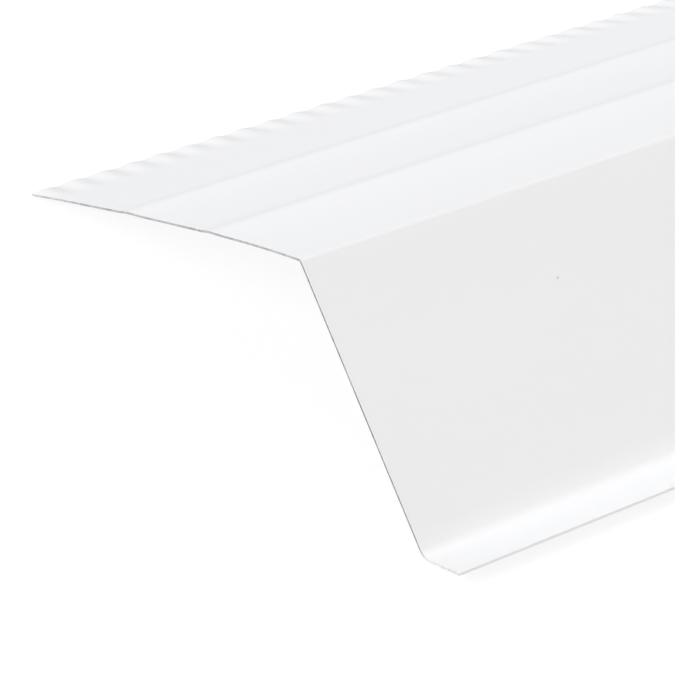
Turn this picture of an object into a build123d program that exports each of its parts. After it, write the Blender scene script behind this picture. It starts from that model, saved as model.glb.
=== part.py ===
from build123d import *
from math import asin, atan2, ceil, cos, degrees, floor, hypot, pi, radians, sin, tan
import os

# Drip edge flashing for a roof's eave: one bent strip of painted sheet steel, as it lies on a level floor.
# Sizes are in mm and angles in degrees. X runs along the length, +Y points from the hanging face to the
# crimped back edge, and +Z is up.

# The stock
LENGTH = 3048.0          # a ten foot length
SHEET = 0.4              # thickness of the painted sheet

# The roof flange, measured along the sheet from its crimped back edge
ROOF_FLANGE = 101.6      # to the sharp corner of the nose
BACK_STRIP = 40.4        # to the middle of the first bead
MIDDLE_STRIP = 31.2      # from the first bead to the second
BEAD_WIDTH = 5.2         # each bead is a very low rounded rib, pressed upwards
BEAD_RISE = 0.1
BEAD_ANGLE = 0.85        # how far the flange turns down at each bead
FRONT_ANGLE = 2.8        # how far the front strip curves over, up to the nose

# The nose, the hanging face and the kicked out lip
NOSE_ANGLE = 61.8        # of the bend
NOSE_RADIUS = 0.5        # inside the bend
FACE = 50.4              # from the sharp corner of the nose to the sharp corner of the lip bend
LIP_ANGLE = 63.5         # of the bend
LIP_RADIUS = 2.3         # inside the bend
LIP = 10.1               # from the sharp corner of the bend to the cut edge

# The crimps: waves with flat crests and valleys, which fade out towards the nose
CRIMP_PITCH = 6.1
CRIMP_DEPTH = 12.5       # how far they reach in from the back edge
CRIMP_RISE = 0.16        # of a crest above the flat sheet, and of a valley below it
CRIMP_CREST = 1.5        # width of a crest at the back edge
CRIMP_FALL = 1.3         # width of the steeper slope, down from a crest
CRIMP_VALLEY = 1.3       # width of a valley, so that the gentler slope takes the rest
FIRST_CREST = 2.45       # from the first cut end to the middle of a crest
SHORTEST_CUT = 0.2       # the shortest bit of crest, slope or valley left at a cut end


def bend(radius, angle):
    """A rounded bend as one (length, turn) run, and the length that it takes off each side of its corner."""
    middle_radius = radius + SHEET / 2
    size = abs(radians(angle))
    return (middle_radius * size, radians(angle)), middle_radius * tan(size / 2)


def bead():
    """A bead as three tangent arcs: up, over and down."""
    quarter = BEAD_WIDTH / 4
    slope = BEAD_RISE / quarter
    return [(quarter, -slope), (2 * quarter, 2 * slope + radians(BEAD_ANGLE)), (quarter, -slope)]


def sheet_runs():
    """The sheet's middle line from the crimps to the lip's cut edge, as (length, turn) runs."""
    nose, nose_set = bend(NOSE_RADIUS, NOSE_ANGLE)
    lip, lip_set = bend(LIP_RADIUS, -LIP_ANGLE)
    front_strip = ROOF_FLANGE - BACK_STRIP - MIDDLE_STRIP
    return [
        (BACK_STRIP - CRIMP_DEPTH - BEAD_WIDTH / 2, 0.0), *bead(),
        (MIDDLE_STRIP - BEAD_WIDTH, 0.0), *bead(),
        (front_strip - BEAD_WIDTH / 2 - nose_set, radians(FRONT_ANGLE)), nose,
        (FACE - nose_set - lip_set, 0.0), lip,
        (LIP - lip_set, 0.0),
    ]


def walk(runs):
    """The start, middle and end of each run as (y, z, heading). The first starts where the crimps end."""
    y, z, heading = -CRIMP_DEPTH, 0.0, pi
    stops = []
    for length, turn in runs:
        half = turn / 2
        chord = length / 2 * (sin(half / 2) / (half / 2) if half else 1.0)
        stop = [(y, z, heading)]
        for _ in range(2):
            y += chord * cos(heading + half / 2)
            z += chord * sin(heading + half / 2)
            heading += half
            stop.append((y, z, heading))
        stops.append(stop)
    return stops


def beside(place, distance):
    """The point at this distance to the left of a place on the middle line, at the first cut end."""
    y, z, heading = place
    return (0.0, y - distance * sin(heading), z + distance * cos(heading))


def section_sides(runs):
    """The edges of the section above the middle line, and those below it."""
    sides = []
    for distance in (-SHEET / 2, SHEET / 2):
        edges = []
        for (_, turn), stop in zip(runs, walk(runs)):
            start, middle, end = [beside(place, distance) for place in stop]
            edges.append(ThreePointArc(start, middle, end) if turn else Line(start, end))
        sides.append(edges)
    return sides


def wave_corners():
    """Corners of the crimped edge as (x, height), with height 1 on a crest and -1 in a valley."""
    waves = []
    for number in range(floor(-FIRST_CREST / CRIMP_PITCH), ceil((LENGTH - FIRST_CREST) / CRIMP_PITCH) + 1):
        crest_end = FIRST_CREST + number * CRIMP_PITCH + CRIMP_CREST / 2
        valley_start = crest_end + CRIMP_FALL
        waves += [(crest_end - CRIMP_CREST, 1.0), (crest_end, 1.0)]
        waves += [(valley_start, -1.0), (valley_start + CRIMP_VALLEY, -1.0)]

    def cut_at(x):
        for (x_a, a), (x_b, b) in zip(waves, waves[1:]):
            if x_a <= x <= x_b:
                return (x, a + (b - a) * (x - x_a) / (x_b - x_a))

    whole = [(x, height) for x, height in waves if SHORTEST_CUT < x < LENGTH - SHORTEST_CUT]
    return [cut_at(0.0), *whole, cut_at(LENGTH)]


def fade_points(corners):
    """Where the slopes end on the crimps' inner line. A whole slope narrows to a point at its own middle."""
    middles = [(x_a + x_b) / 2 for (x_a, a), (x_b, b) in zip(corners, corners[1:])
               if a != b and x_a > 0.0 and x_b < LENGTH]
    return [0.0, *middles, LENGTH]


def polygon(*points):
    return Face(Wire.make_polygon(points))


def crimped_strip():
    """Flat facets from the waves of the back edge to their inner line, and the plain strip up to the bead."""
    corners = wave_corners()
    points = fade_points(corners)
    upper, lower = SHEET / 2, -SHEET / 2
    bead_start = BEAD_WIDTH / 2 - BACK_STRIP

    def on_edge(corner, side):
        return (corner[0], 0.0, corner[1] * CRIMP_RISE + side)

    def on_line(x, side):
        return (x, -CRIMP_DEPTH, side)

    faces = []
    for side in (upper, lower):
        place = 0
        for a, b in zip(corners, corners[1:]):
            if a[1] == b[1]:
                inner = [on_line(points[place + 1], side), on_line(points[place], side)]
                place += 1
            else:
                inner = [on_line(points[place], side)]
            faces.append(polygon(on_edge(a, side), on_edge(b, side), *inner))
        plain = [on_line(x, side) for x in points]
        faces.append(polygon(*plain, (LENGTH, bead_start, side), (0.0, bead_start, side)))
    for a, b in zip(corners, corners[1:]):
        faces.append(polygon(on_edge(a, upper), on_edge(b, upper), on_edge(b, lower), on_edge(a, lower)))
    for end in (corners[0], corners[-1]):
        faces.append(polygon(on_edge(end, upper), on_edge(end, lower),
                             on_line(end[0], lower), on_line(end[0], upper)))
    return faces


def bent_sheet(runs):
    """The section from the first bead to the lip, swept along the length, and both cut ends."""
    upper, lower = section_sides(runs)
    along = Vector(LENGTH, 0, 0)
    crimp_cut = Line(upper[0] @ 0, lower[0] @ 0)
    lip_cut = Line(upper[-1] @ 1, lower[-1] @ 1)
    end = make_face([*upper, *lower, crimp_cut, lip_cut]).face()
    sides = [Face.extrude(edge, along) for edge in [*upper[1:], *lower[1:], lip_cut]]
    return [end, end.moved(Pos(along)), *sides]


def lie_down(piece, runs):
    """Lie the piece on its back edge and its lip bend, with the origin under the middle of its box."""
    foot_y, foot_z = 0.0, -CRIMP_RISE - SHEET / 2
    bend_y, bend_z, heading = walk(runs)[-2][0]
    middle_radius = LIP_RADIUS + SHEET / 2
    lip_end = beside(walk(runs)[-1][2], SHEET / 2)
    rests = [
        (bend_y + middle_radius * sin(heading), bend_z - middle_radius * cos(heading), LIP_RADIUS + SHEET),
        (lip_end[1], lip_end[2], 0.0),
    ]
    lines = []
    for y, z, radius in rests:
        slope = atan2(z - foot_z, y - foot_y) % (2 * pi)
        lines.append(slope + asin(radius / hypot(y - foot_y, z - foot_z)))
    piece = Rot(X=180 - degrees(max(lines))) * piece
    box = piece.bounding_box()
    return Pos(-box.center().X, -box.center().Y, -box.min.Z) * piece


middle_line = sheet_runs()
flashing = Solid(Shell(bent_sheet(middle_line) + crimped_strip()))
drip_edge = lie_down(flashing, middle_line)

os.makedirs("parts", exist_ok=True)
export_step(drip_edge, "parts/drip_edge.step")
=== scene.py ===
from math import atan2, ceil, cos, pi, radians, sin, tan

import bpy
from bpy.props import FloatProperty, IntProperty, PointerProperty, StringProperty
from bpy.types import Operator, Panel, PropertyGroup
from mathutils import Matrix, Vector


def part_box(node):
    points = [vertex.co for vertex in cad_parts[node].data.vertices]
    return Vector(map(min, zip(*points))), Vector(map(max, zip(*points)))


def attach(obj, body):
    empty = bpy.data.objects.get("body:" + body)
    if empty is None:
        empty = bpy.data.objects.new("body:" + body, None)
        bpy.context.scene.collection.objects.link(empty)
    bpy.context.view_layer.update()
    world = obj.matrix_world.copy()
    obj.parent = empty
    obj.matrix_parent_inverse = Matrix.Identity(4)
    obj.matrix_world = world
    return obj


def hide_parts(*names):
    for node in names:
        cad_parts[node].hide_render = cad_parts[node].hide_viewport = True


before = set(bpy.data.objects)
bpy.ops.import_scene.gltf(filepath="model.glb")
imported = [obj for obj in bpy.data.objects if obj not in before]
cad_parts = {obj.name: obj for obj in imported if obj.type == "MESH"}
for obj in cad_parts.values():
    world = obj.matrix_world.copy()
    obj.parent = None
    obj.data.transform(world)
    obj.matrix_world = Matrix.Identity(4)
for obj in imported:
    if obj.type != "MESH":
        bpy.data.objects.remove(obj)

bl_info = {
    "name": "Drip Edge Flashing",
    "version": (1, 0, 0),
    "blender": (4, 5, 0),
    "location": "View3D > Sidebar > Flashing",
    "description": "Rolls a crimped drip edge from painted sheet steel and lays it on a white floor",
    "category": "Add Mesh",
}

MM = 0.001
TOUCHING = 0.01 * MM     # places closer than this are one place
WELD = 0.001 * MM        # gap over which vertices are merged
NODE = "drip_edge"
CAD_LOW, CAD_HIGH = (Vector(corner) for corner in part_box(NODE))
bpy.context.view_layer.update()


# Sizes and colours that a user would change

def length_property(name, description, default):
    return FloatProperty(name=name, description=description, default=default, min=0.0,
                         unit="LENGTH", subtype="DISTANCE", precision=5)


def angle_property(name, description, degrees):
    return FloatProperty(name=name, description=description, default=radians(degrees),
                         unit="ROTATION", subtype="ANGLE")


def colour_property(name, description, default):
    return StringProperty(name=name, description=description, default=default)


class SheetSizes(PropertyGroup):
    """The bent section, measured along the middle of the sheet"""
    length: length_property("Length", "Length of the piece", CAD_HIGH.x - CAD_LOW.x)
    thickness: length_property("Sheet", "Thickness of the painted sheet", 0.4 * MM)
    roof_flange: length_property("Roof flange", "Crimped back edge to the nose's sharp corner", 101.6 * MM)
    back_strip: length_property("Back strip", "Crimped back edge to the first bead", 40.4 * MM)
    middle_strip: length_property("Middle strip", "First bead to the second", 31.2 * MM)
    bead_width: length_property("Bead width", "Width of each stiffening bead", 5.2 * MM)
    bead_back: angle_property("Bead back", "How steeply a bead rises towards the nose", 4.0)
    bead_front: angle_property("Bead front", "How steeply a bead falls again", 2.8)
    bead_angle: angle_property("Bead angle", "How far the sheet turns down at each bead", 0.95)
    front_angle: angle_property("Front curve", "How far the front strip curves over", 2.6)
    nose_angle: angle_property("Nose bend", "How far the sheet turns at the nose", 61.8)
    nose_radius: length_property("Nose radius", "Inside radius of the nose", 0.5 * MM)
    face: length_property("Face", "Nose corner to the lip bend's corner", 50.4 * MM)
    lip_angle: angle_property("Lip bend", "How far the lip is kicked out", 63.5)
    lip_radius: length_property("Lip radius", "Inside radius of the lip bend", 2.3 * MM)
    lip: length_property("Lip", "Lip bend's corner to the cut edge", 10.1 * MM)


class CrimpSizes(PropertyGroup):
    """The waves pressed into the back edge"""
    pitch: length_property("Pitch", "From one crest to the next", 6.1 * MM)
    rise: length_property("Rise", "Height of a crest above the flat sheet", 0.16 * MM)
    first_crest: length_property("First crest", "From the near cut end to the first crest", 2.7 * MM)
    lean: FloatProperty(name="Lean", description="How much quicker a wave falls than it rises", default=0.12)
    slant: FloatProperty(name="Slant", description="How far the waves stray sideways per length inwards",
                         default=-0.08)
    columns: IntProperty(name="Columns", description="Columns of faces in one wave", default=12, min=6)


class FinishColours(PropertyGroup):
    """Colours of the sheet and of the floor, as sRGB hex values"""
    paint: colour_property("Paint", "White coil coating on the weather side", "#F2F2F2")
    backer: colour_property("Backer", "Wash coat on the hidden side", "#DCDBD6")
    steel: colour_property("Steel", "Bare steel at the sheared ends", "#5E6064")
    dragged: colour_property("Dragged paint", "Paint and zinc dragged over the sheared ends", "#E6E6E4")
    floor: colour_property("Floor", "Floor under the sheet", "#F2F2F2")


# Order of the materials on the sheet
PAINTED, BACK, CUT = range(3)


# Edit mode helpers

def pick(piece, test):
    """Selects the vertices that pass a test of their place, and the edges and faces between them."""
    bpy.ops.mesh.select_mode(type="VERT")
    bpy.ops.mesh.select_all(action="DESELECT")
    bpy.ops.object.mode_set(mode="OBJECT")
    chosen = [vertex for vertex in piece.data.vertices if test(vertex.co)]
    for vertex in chosen:
        vertex.select = True
    bpy.ops.object.mode_set(mode="EDIT")
    if not chosen:
        raise RuntimeError(f"nothing to select on {piece.name}")


def near(a, b):
    """Whether two places along one axis are the same."""
    return abs(a - b) < TOUCHING


def apply_modifier(piece, kind, **settings):
    """Adds one modifier with its settings and applies it."""
    modifier = piece.modifiers.new(kind.title(), kind)
    for key, value in settings.items():
        setattr(modifier, key, value)
    bpy.ops.object.modifier_apply(modifier=modifier.name)


# The crimped back edge

FADE = (                 # distance from the back edge in mm, and share of the waves' height there
    (0.0, 1.0), (3.5, 1.0), (6.0, 0.72), (8.5, 0.58), (10.5, 0.36), (11.6, 0.12), (12.5, 0.0),
)
CRIMP_DEPTH = FADE[-1][0] * MM
GRID_LOW, GRID_HIGH = 1.0, 2.0    # where the grid's rows lie, well behind the sheet, before they are placed


def press_wave(crimps, start):
    """One wave from crest to crest, flat at its front. Its columns are lifted, then its rows are faded and
    placed."""
    rows = len(FADE) - 1
    bpy.ops.object.select_all(action="DESELECT")
    bpy.ops.mesh.primitive_grid_add(x_subdivisions=crimps.columns, y_subdivisions=rows, size=1.0)
    wave = bpy.context.object
    wave.name = wave.data.name = "flashing_sheet"
    bpy.ops.object.mode_set(mode="EDIT")
    bpy.ops.transform.resize(value=(crimps.pitch, 1.0, 1.0))
    bpy.ops.transform.translate(value=(start + crimps.pitch / 2, (GRID_LOW + GRID_HIGH) / 2, 0))
    for number in range(crimps.columns + 1):
        x = start + crimps.pitch * number / crimps.columns
        turn = 2 * pi * number / crimps.columns
        height = crimps.rise * cos(turn + crimps.lean * (1 - cos(turn)))
        pick(wave, lambda co: near(co.x, x))
        bpy.ops.transform.translate(value=(0, 0, height))
    for number, (inwards, share) in enumerate(FADE):
        from_y, y = GRID_HIGH - (GRID_HIGH - GRID_LOW) * number / rows, -inwards * MM
        pick(wave, lambda co: near(co.y, from_y))
        bpy.ops.transform.resize(value=(1, 1, share), center_override=(0, 0, 0))
        bpy.ops.transform.translate(value=(-crimps.slant * y, y - from_y, 0))
    bpy.ops.object.mode_set(mode="OBJECT")
    return wave


def row_waves(crimps, length):
    """Copies the wave along the back edge. The copies run past both cut ends, as on the coil."""
    start = -length / 2 + crimps.first_crest - 2 * crimps.pitch
    count = ceil((length / 2 - start) / crimps.pitch) + 1
    wave = press_wave(crimps, start)
    apply_modifier(wave, "ARRAY", count=count, use_relative_offset=False, use_constant_offset=True,
                   constant_offset_displace=(crimps.pitch, 0, 0), use_merge_vertices=True,
                   merge_threshold=WELD)
    return wave


# The bent sheet

def bend_run(radius, angle, thickness):
    """A rounded bend as one (length, turn) run, and the length that it takes off each side of its corner."""
    middle_radius = radius + thickness / 2
    return (middle_radius * abs(angle), angle), middle_radius * tan(abs(angle) / 2)


BEAD_BACK, BEAD_TOP, BEAD_FRONT = 0.25, 0.65, 1.15    # lengths of a bead's arcs, as shares of its width


def bead_runs(sizes):
    """A bead as three tangent arcs: up, over and slowly down. The strip after it falls away by its angle."""
    return [(BEAD_BACK * sizes.bead_width, -sizes.bead_back),
            (BEAD_TOP * sizes.bead_width, sizes.bead_back + sizes.bead_front),
            (BEAD_FRONT * sizes.bead_width, sizes.bead_angle - sizes.bead_front)]


def sheet_runs(sizes):
    """The middle line from the faded crimps to the lip's cut edge, as (length, turn) runs."""
    nose, nose_set = bend_run(sizes.nose_radius, sizes.nose_angle, sizes.thickness)
    lip, lip_set = bend_run(sizes.lip_radius, -sizes.lip_angle, sizes.thickness)
    climb = sizes.bead_width * (BEAD_BACK + BEAD_TOP * sizes.bead_back / (sizes.bead_back + sizes.bead_front))
    fall = sizes.bead_width * (BEAD_BACK + BEAD_TOP + BEAD_FRONT) - climb
    front_strip = sizes.roof_flange - sizes.back_strip - sizes.middle_strip
    return [
        (sizes.back_strip - CRIMP_DEPTH - climb, 0.0), *bead_runs(sizes),
        (sizes.middle_strip - fall - climb, 0.0), *bead_runs(sizes),
        (front_strip - fall - nose_set, sizes.front_angle), nose,
        (sizes.face - nose_set - lip_set, 0.0), lip,
        (sizes.lip - lip_set, 0.0),
    ]


LONG_RUN = 6 * MM        # longer runs get a narrow border at both ends
BORDER = 0.5 * MM        # which keeps the soft shading of a bend off the flat
BEND_STEP = radians(8)   # turn of one row of faces round a bend
BEND_ROWS = 4            # the fewest rows round a bend
CURVE_ROWS = 5           # rows of faces over a strip that curves slightly
PANEL_WAVES = 10         # waves along the length of one panel of the plain sheet
SMOOTH = radians(30)     # edges sharper than this stay sharp in the shading


def rows_of_run(length, turn):
    """The run as (length, turn, rows) pieces."""
    if length < LONG_RUN:
        return [(length, turn, max(BEND_ROWS, ceil(abs(turn) / BEND_STEP)) if turn else 1)]
    share = turn * BORDER / length
    border = (BORDER, share, 1)
    return [border, (length - 2 * BORDER, turn - 2 * share, CURVE_ROWS if turn else 1), border]


def thin_row(sheet, y, panel):
    """Keeps the vertices of a row only where two panels meet, so that the plain sheet has few faces."""
    bpy.ops.object.mode_set(mode="OBJECT")
    across = [vertex.co.x for vertex in sheet.data.vertices if near(vertex.co.y, y)]
    first, last = min(across), max(across)
    bpy.ops.object.mode_set(mode="EDIT")
    pick(sheet, lambda co: near(co.y, y) and not near(co.x, first) and not near(co.x, last)
         and not near((co.x - first + panel / 2) % panel, panel / 2))
    bpy.ops.mesh.dissolve_verts()
    pick(sheet, lambda co: near(co.y, y))


def roll_sheet(sheet, sizes, crimps):
    """Draws the waves' front edge on over each flat, and spins it round each bend."""
    parts = [part for run in sheet_runs(sizes) for part in rows_of_run(*run)]
    y, z, heading = -CRIMP_DEPTH, 0.0, pi
    bpy.ops.object.mode_set(mode="EDIT")
    pick(sheet, lambda co: near(co.y, y))
    for number, (length, turn, rows) in enumerate(parts):
        chord = 2 * length / turn * sin(turn / 2) if turn else length
        step = Vector((0, chord * cos(heading + turn / 2), chord * sin(heading + turn / 2)))
        if turn:
            radius = length / turn
            centre = (0, y - radius * sin(heading), z + radius * cos(heading))
            bpy.ops.mesh.spin(steps=rows, angle=turn, center=centre, axis=(-1, 0, 0))
        else:
            bpy.ops.mesh.extrude_region_move(TRANSFORM_OT_translate={"value": step})
        y, z, heading = y + step.y, z + step.z, heading + turn
        if number == 0:
            thin_row(sheet, y, PANEL_WAVES * crimps.pitch)
    bpy.ops.object.mode_set(mode="OBJECT")


def lie_down(sheet, sizes, crimps):
    """Turns the sheet over onto its crimped edge and its lip bend, and puts it where the frame has it.
    Returns its turn and its shift along Y."""
    foot = Vector((0, 0, -crimps.rise - sizes.thickness / 2))
    lowest = max(atan2(vertex.co.z - foot.z, vertex.co.y - foot.y) % (2 * pi)
                 for vertex in sheet.data.vertices if vertex.co.y < -CRIMP_DEPTH)
    bpy.ops.object.mode_set(mode="EDIT")
    bpy.ops.mesh.select_all(action="SELECT")
    bpy.ops.transform.rotate(value=lowest - pi, orient_axis="X", center_override=(0, 0, 0))
    bpy.ops.object.mode_set(mode="OBJECT")
    low, high = box_of(sheet)
    shift = (CAD_LOW + CAD_HIGH) / 2 - (low + high) / 2
    shift.z = CAD_LOW.z - low.z
    bpy.ops.object.mode_set(mode="EDIT")
    bpy.ops.transform.translate(value=shift)
    bpy.ops.object.mode_set(mode="OBJECT")
    return pi - lowest, shift.y


def bead_crests(sizes, turn, shift):
    """Where the beads' crests lie across the sheet once it is laid down."""
    reach, fall = sizes.middle_strip * cos(sizes.bead_angle), sizes.middle_strip * sin(sizes.bead_angle)
    crests = ((-sizes.back_strip, 0), (-sizes.back_strip - reach, -fall))
    return [y * cos(turn) - z * sin(turn) + shift for y, z in crests]


def box_of(piece):
    """The low and high corners of a piece."""
    places = [vertex.co for vertex in piece.data.vertices]
    return (Vector([min(place[axis] for place in places) for axis in range(3)]),
            Vector([max(place[axis] for place in places) for axis in range(3)]))


def shear_end(sheet, x, side):
    """Cuts the sheet square at x, as a shear does, and closes the cut with bare steel."""
    bpy.ops.object.mode_set(mode="EDIT")
    bpy.ops.mesh.select_all(action="SELECT")
    bpy.ops.mesh.bisect(plane_co=(x, 0, 0), plane_no=(side, 0, 0), use_fill=True, clear_outer=True,
                        threshold=WELD)
    pick(sheet, lambda co: near(co.x, x))
    sheet.active_material_index = CUT
    bpy.ops.object.material_slot_assign()
    bpy.ops.object.mode_set(mode="OBJECT")


# Materials

def linear(colour):
    """An sRGB hex value as linear red, green, blue and alpha."""
    parts = [int(colour[place:place + 2], 16) / 255 for place in (1, 3, 5)]
    return (*(part / 12.92 if part <= 0.04045 else ((part + 0.055) / 1.055) ** 2.4 for part in parts), 1.0)


def add_node(tree, kind, inputs=None, links=None, stops=(), **settings):
    """Adds a node, sets its options, its inputs and the grey stops of its ramp, and links its inputs from
    other nodes' outputs."""
    node = tree.nodes.new(kind)
    for number, (place, grey) in enumerate(stops):
        ramp = node.color_ramp.elements
        stop = ramp[number] if number < len(ramp) else ramp.new(place)
        stop.position, stop.color = place, (grey, grey, grey, 1.0)
    for key, value in settings.items():
        setattr(node, key, value)
    for key, value in (inputs or {}).items():
        node.inputs[key].default_value = value
    for key, (source, output) in (links or {}).items():
        tree.links.new(source.outputs[output], node.inputs[key])
    return node


def start_material(name):
    """A new material, its empty tree and the node that gives it the place on the piece."""
    material = bpy.data.materials.new(name)
    material.use_nodes = True
    tree = material.node_tree
    tree.nodes.clear()
    place = add_node(tree, "ShaderNodeTexCoord")
    return material, tree, place


def finish_material(tree, shader):
    add_node(tree, "ShaderNodeOutputMaterial", links={"Surface": (shader, 0)})


def grey_across(tree, place, stops, start=0.0):
    """A grey that changes across the sheet. Its stops are (distance from the start in mm along Y, grey)."""
    first, last = stops[0][0], stops[-1][0]
    axes = add_node(tree, "ShaderNodeSeparateXYZ", links={0: (place, "Object")})
    across = add_node(tree, "ShaderNodeMapRange", links={"Value": (axes, "Y")},
                      inputs={"From Min": start + first * MM, "From Max": start + last * MM})
    return add_node(tree, "ShaderNodeValToRGB", links={"Fac": (across, "Result")},
                    stops=[((distance - first) / (last - first), grey) for distance, grey in stops])


BEAD_SHADE_AND_HIGHLIGHT = (            # distance in mm behind a bead's crest, and the paint's lightness there: painted shade behind the crest, painted highlight before it
    (4.5, 0.992), (3.0, 0.978), (1.6, 0.944), (0.6, 0.968), (-0.4, 1.01), (-1.5, 1.03), (-2.8, 1.035),
    (-6.0, 1.03), (-12.0, 1.018), (-25.0, 1.0),
)
SPECK = Vector((CAD_LOW.x + 42.0 * MM, -36.6 * MM, 24.2 * MM))    # a grain of dirt on the face


def coil_coated_paint(colour, crests):
    """White polyester coil coating on steel, baked on the flat sheet before it is rolled to shape.
    It gives an even, cool white with a satin sheen, a faint skin of 1.5 mm ripples from the coating
    roller, drawn out along the sheet, and slow changes of sheen every few centimetres. Painted shade
    darkens a thin band behind each bead, and a painted highlight lightens the strip before it. One
    grain of dirt sticks to the face."""
    material, tree, place = start_material("coil_coated_white_polyester")
    along = add_node(tree, "ShaderNodeMapping", links={"Vector": (place, "Object")},
                     inputs={"Scale": (0.35, 1.0, 1.0)})
    skin = add_node(tree, "ShaderNodeTexNoise", links={"Vector": (along, "Vector")},
                    inputs={"Scale": 1 / (1.5 * MM), "Detail": 2.0, "Roughness": 0.5})
    cloud = add_node(tree, "ShaderNodeTexNoise", links={"Vector": (along, "Vector")},
                     inputs={"Scale": 1 / (40 * MM), "Detail": 3.0, "Roughness": 0.55})
    base = linear(colour)
    tone = add_node(tree, "ShaderNodeMapRange", links={"Value": (cloud, "Fac")},
                    inputs={"From Min": 0.3, "From Max": 0.7, "To Min": 0.988, "To Max": 1.006})
    gap = add_node(tree, "ShaderNodeVectorMath", operation="DISTANCE", inputs={1: SPECK},
                   links={0: (place, "Object")})
    dirt = add_node(tree, "ShaderNodeMapRange", links={"Value": (gap, "Value")},
                    inputs={"From Min": 0.1 * MM, "From Max": 0.35 * MM, "To Min": 0.75, "To Max": 1.0})
    soiled = add_node(tree, "ShaderNodeMath", operation="MULTIPLY", links={0: (tone, 0), 1: (dirt, 0)})
    shade = add_node(tree, "ShaderNodeVectorMath", operation="SCALE", inputs={0: base[:3]},
                     links={"Scale": (soiled, 0)})
    # Painted shade behind each bead's crest and painted highlight before it, multiplied into the paint's
    # colour
    for crest in crests:
        bead_shading = grey_across(tree, place, BEAD_SHADE_AND_HIGHLIGHT, crest)
        shade = add_node(tree, "ShaderNodeVectorMath", operation="MULTIPLY",
                         links={0: (shade, "Vector"), 1: (bead_shading, "Color")})
    sheen = add_node(tree, "ShaderNodeMapRange", links={"Value": (cloud, "Fac")},
                     inputs={"From Min": 0.3, "From Max": 0.7, "To Min": 0.40, "To Max": 0.48})
    bump = add_node(tree, "ShaderNodeBump", links={"Height": (skin, "Fac")},
                    inputs={"Strength": 0.35, "Distance": 0.008 * MM})
    shader = add_node(tree, "ShaderNodeBsdfPrincipled", inputs={"IOR": 1.5, "Specular IOR Level": 0.2},
                      links={"Base Color": (shade, "Vector"), "Roughness": (sheen, "Result"),
                             "Normal": (bump, "Normal")})
    finish_material(tree, shader)
    return material


def wash_coat(colour):
    """Thin wash coat on the hidden side: an off-white, nearly matt film over galvanised steel, a little
    uneven, so that it looks greyer and cloudier than the weather side."""
    material, tree, place = start_material("wash_coat_backer")
    along = add_node(tree, "ShaderNodeMapping", links={"Vector": (place, "Object")},
                     inputs={"Scale": (0.25, 1.0, 1.0)})
    cloud = add_node(tree, "ShaderNodeTexNoise", links={"Vector": (along, "Vector")},
                     inputs={"Scale": 1 / (12 * MM), "Detail": 4.0, "Roughness": 0.6})
    grain = add_node(tree, "ShaderNodeTexNoise", links={"Vector": (place, "Object")},
                     inputs={"Scale": 1 / (0.8 * MM), "Detail": 2.0})
    base = linear(colour)
    tone = add_node(tree, "ShaderNodeMapRange", links={"Value": (cloud, "Fac")},
                    inputs={"From Min": 0.3, "From Max": 0.7, "To Min": 0.93, "To Max": 1.02})
    shade = add_node(tree, "ShaderNodeVectorMath", operation="SCALE", inputs={0: base[:3]},
                     links={"Scale": (tone, "Result")})
    bump = add_node(tree, "ShaderNodeBump", links={"Height": (grain, "Fac")},
                    inputs={"Strength": 0.4, "Distance": 0.01 * MM})
    shader = add_node(tree, "ShaderNodeBsdfPrincipled", inputs={"Roughness": 0.6, "IOR": 1.5},
                      links={"Base Color": (shade, "Vector"), "Normal": (bump, "Normal")})
    finish_material(tree, shader)
    return material


CUT_LIGHTER_ACROSS = (              # distance across the sheet in mm, and how much lighter the cut is there, towards the lighter colour
    (-70.0, 0.7), (-62.0, 0.7), (-58.0, 0.1), (-27.0, 0.1), (-22.0, 0.36), (50.0, 0.38), (68.0, 0.55),
)


def sheared_steel(colour, dragged):
    """Galvanised steel core where the sheet was sheared to length: a thin grey line. The blade dragged paint
    and zinc over it in flecks from 0.3 to 2 mm long. The cut is also made lighter by a table across the
    sheet, most on the lip and near the crimped edge."""
    material, tree, place = start_material("sheared_galvanised_steel")
    fleck = add_node(tree, "ShaderNodeTexNoise", links={"Vector": (place, "Object")},
                     inputs={"Scale": 1 / (1.6 * MM), "Detail": 5.0, "Roughness": 0.65})
    # Lightest on the lip's cut and near the crimped edge, by place across the sheet
    lighter_across = grey_across(tree, place, CUT_LIGHTER_ACROSS)
    both = add_node(tree, "ShaderNodeMath", operation="ADD", links={0: (fleck, "Fac"), 1: (lighter_across, "Color")})
    flecks_and_lightening = add_node(tree, "ShaderNodeMapRange", links={"Value": (both, 0)},
                     inputs={"From Min": 0.45, "From Max": 1.45})
    shade = add_node(tree, "ShaderNodeMix", data_type="RGBA", links={0: (flecks_and_lightening, "Result")},
                     inputs={6: linear(colour), 7: linear(dragged)})
    bump = add_node(tree, "ShaderNodeBump", links={"Height": (fleck, "Fac")},
                    inputs={"Strength": 0.6, "Distance": 0.03 * MM})
    shader = add_node(tree, "ShaderNodeBsdfPrincipled", inputs={"Metallic": 0.5, "Roughness": 0.5},
                      links={"Base Color": (shade, 2), "Normal": (bump, "Normal")})
    finish_material(tree, shader)
    return material


def seen_or_lighting(tree, seen, lighting):
    """One shader for the camera, for reflections and through clear things, and one for all other light."""
    path = add_node(tree, "ShaderNodeLightPath")
    direct = add_node(tree, "ShaderNodeMath", operation="MAXIMUM",
                      links={0: (path, "Is Camera Ray"), 1: (path, "Is Transmission Ray")})
    either = add_node(tree, "ShaderNodeMath", operation="MAXIMUM",
                      links={0: (direct, "Value"), 1: (path, "Is Glossy Ray")})
    return add_node(tree, "ShaderNodeMixShader", links={0: (either, "Value"), 1: (lighting, 0), 2: (seen, 0)})


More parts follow.
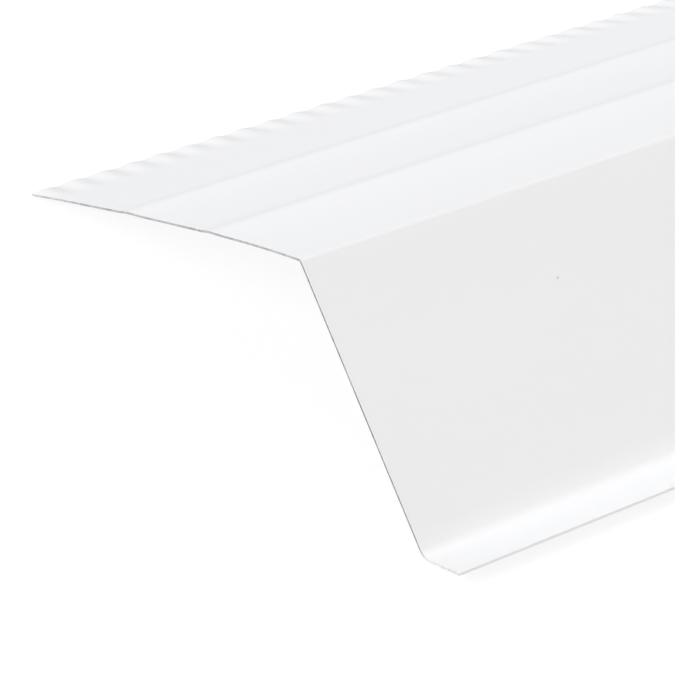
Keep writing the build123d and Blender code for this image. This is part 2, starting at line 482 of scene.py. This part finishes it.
def studio_floor(colour):
    """Plain studio paper. The camera and reflections see it white, with a soft shadow kept on it. For the
    light that it throws back on to the sheet, it stays the pale paper that it is."""
    material, tree, _ = start_material("studio_paper")
    paper = add_node(tree, "ShaderNodeBsdfDiffuse", inputs={"Color": linear(colour)})
    matt = add_node(tree, "ShaderNodeBsdfDiffuse", inputs={"Color": (*[FLOOR_MATT] * 3, 1.0)})
    glow = add_node(tree, "ShaderNodeEmission", inputs={"Strength": FLOOR_GLOW})
    white = add_node(tree, "ShaderNodeAddShader", links={0: (matt, "BSDF"), 1: (glow, "Emission")})
    finish_material(tree, seen_or_lighting(tree, white, paper))
    return material


# The stage

FLOOR_SIZE = 40.0        # in m
FLOOR_MATT = 0.14        # how much light the floor returns to the camera, which keeps the shadow
FLOOR_GLOW = 0.88        # how much it adds to that, up to white
SKY = 0.24               # strength of the even light from all round
SUN_SOFTNESS = radians(40)    # width of each lamp in the sky
SUNS = (                 # place of each lamp as seen from the sheet, its strength and its tint
    ((0.0, 0.0, 1.0), 0.79, (0.985, 1.0, 1.02)),
    ((-0.85, 0.0, 0.53), 2.92, (0.99, 0.995, 1.02)),
    ((0.0, -0.85, 0.53), 0.23, (1.1, 1.02, 0.85)),
)
CAMERA_PLACE = Vector((-1.7220, -0.3465, 0.2683))
CAMERA_VIEW = Vector((0.4497, 0.7053, -0.5480))
CAMERA_LENS, CAMERA_FRAME = 151.2, 36.0    # focal length and width of the frame, in mm


def light_world():
    """Even white light all round, and plain white where the camera or a reflection sees it."""
    world = bpy.data.worlds.new("studio_light")
    bpy.context.scene.world = world
    world.use_nodes = True
    tree = world.node_tree
    tree.nodes.clear()
    white, even = (
        add_node(tree, "ShaderNodeBackground", inputs={"Strength": strength, "Color": (1.0, 1.0, 1.0, 1.0)})
        for strength in (1.0, SKY))
    add_node(tree, "ShaderNodeOutputWorld", links={"Surface": (seen_or_lighting(tree, white, even), 0)})


# Operators

class FLASHING_OT_sheet(Operator):
    """Roll the crimped sheet, cut it to length and lie it down"""
    bl_idname = "flashing.sheet"
    bl_label = "Roll the sheet"

    def execute(self, context):
        sizes, crimps, colours = (getattr(context.scene, name) for name in PROPERTIES)
        sheet = row_waves(crimps, sizes.length)
        roll_sheet(sheet, sizes, crimps)
        # The slots stay empty until the sheet lies, because the painted shade and highlight in the paint
        # follow where the beads then are
        for _ in (PAINTED, BACK, CUT):
            sheet.data.materials.append(None)
        apply_modifier(sheet, "SOLIDIFY", thickness=sizes.thickness, offset=0.0, use_even_offset=True,
                       material_offset=BACK, material_offset_rim=PAINTED)
        shear_end(sheet, -sizes.length / 2, -1)
        shear_end(sheet, sizes.length / 2, 1)
        crests = bead_crests(sizes, *lie_down(sheet, sizes, crimps))
        sheet.data.materials[PAINTED] = coil_coated_paint(colours.paint, crests)
        sheet.data.materials[BACK] = wash_coat(colours.backer)
        sheet.data.materials[CUT] = sheared_steel(colours.steel, colours.dragged)
        bpy.ops.object.shade_smooth_by_angle(angle=SMOOTH)
        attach(sheet, "root")
        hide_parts(NODE)
        return {"FINISHED"}


class FLASHING_OT_stage(Operator):
    """Lay the floor, set the lamps and stand the camera"""
    bl_idname = "flashing.stage"
    bl_label = "Set the stage"

    def execute(self, context):
        colours = context.scene.flashing_colours
        bpy.ops.object.select_all(action="DESELECT")
        bpy.ops.mesh.primitive_plane_add(size=FLOOR_SIZE)
        floor = context.object
        floor.name = floor.data.name = "floor"
        floor.data.materials.append(studio_floor(colours.floor))
        light_world()
        for number, (source, strength, tint) in enumerate(SUNS):
            bpy.ops.object.light_add(type="SUN")
            lamp = context.object
            lamp.name = f"lamp_{number}"
            lamp.data.energy, lamp.data.angle, lamp.data.color = strength, SUN_SOFTNESS, tint
            lamp.rotation_euler = Vector(source).to_track_quat("Z", "Y").to_euler()
        bpy.ops.object.camera_add(location=CAMERA_PLACE,
                                  rotation=CAMERA_VIEW.to_track_quat("-Z", "Y").to_euler())
        camera = context.object
        camera.data.lens, camera.data.sensor_width = CAMERA_LENS, CAMERA_FRAME
        camera.data.clip_start = 10 * MM
        context.scene.camera = camera
        context.scene.view_settings.view_transform = "Standard"
        return {"FINISHED"}


class FLASHING_PT_panel(Panel):
    """Sizes, colours and steps of the flashing"""
    bl_label = "Drip Edge Flashing"
    bl_space_type = "VIEW_3D"
    bl_region_type = "UI"
    bl_category = "Flashing"

    def draw(self, context):
        for name in PROPERTIES:
            group = getattr(context.scene, name)
            box = self.layout.box()
            for key in group.__annotations__:
                box.prop(group, key)
        for operator in OPERATORS:
            self.layout.operator(operator.bl_idname)


PROPERTIES = {"flashing_sheet": SheetSizes, "flashing_crimps": CrimpSizes, "flashing_colours": FinishColours}
OPERATORS = (FLASHING_OT_sheet, FLASHING_OT_stage)
CLASSES = (*PROPERTIES.values(), *OPERATORS, FLASHING_PT_panel)


def register():
    for cls in CLASSES:
        bpy.utils.register_class(cls)
    for name, group in PROPERTIES.items():
        setattr(bpy.types.Scene, name, PointerProperty(type=group))


def unregister():
    for name in PROPERTIES:
        delattr(bpy.types.Scene, name)
    for cls in reversed(CLASSES):
        bpy.utils.unregister_class(cls)


def main():
    register()
    bpy.ops.flashing.sheet()
    bpy.ops.flashing.stage()


if __name__ == "__main__":
    main()
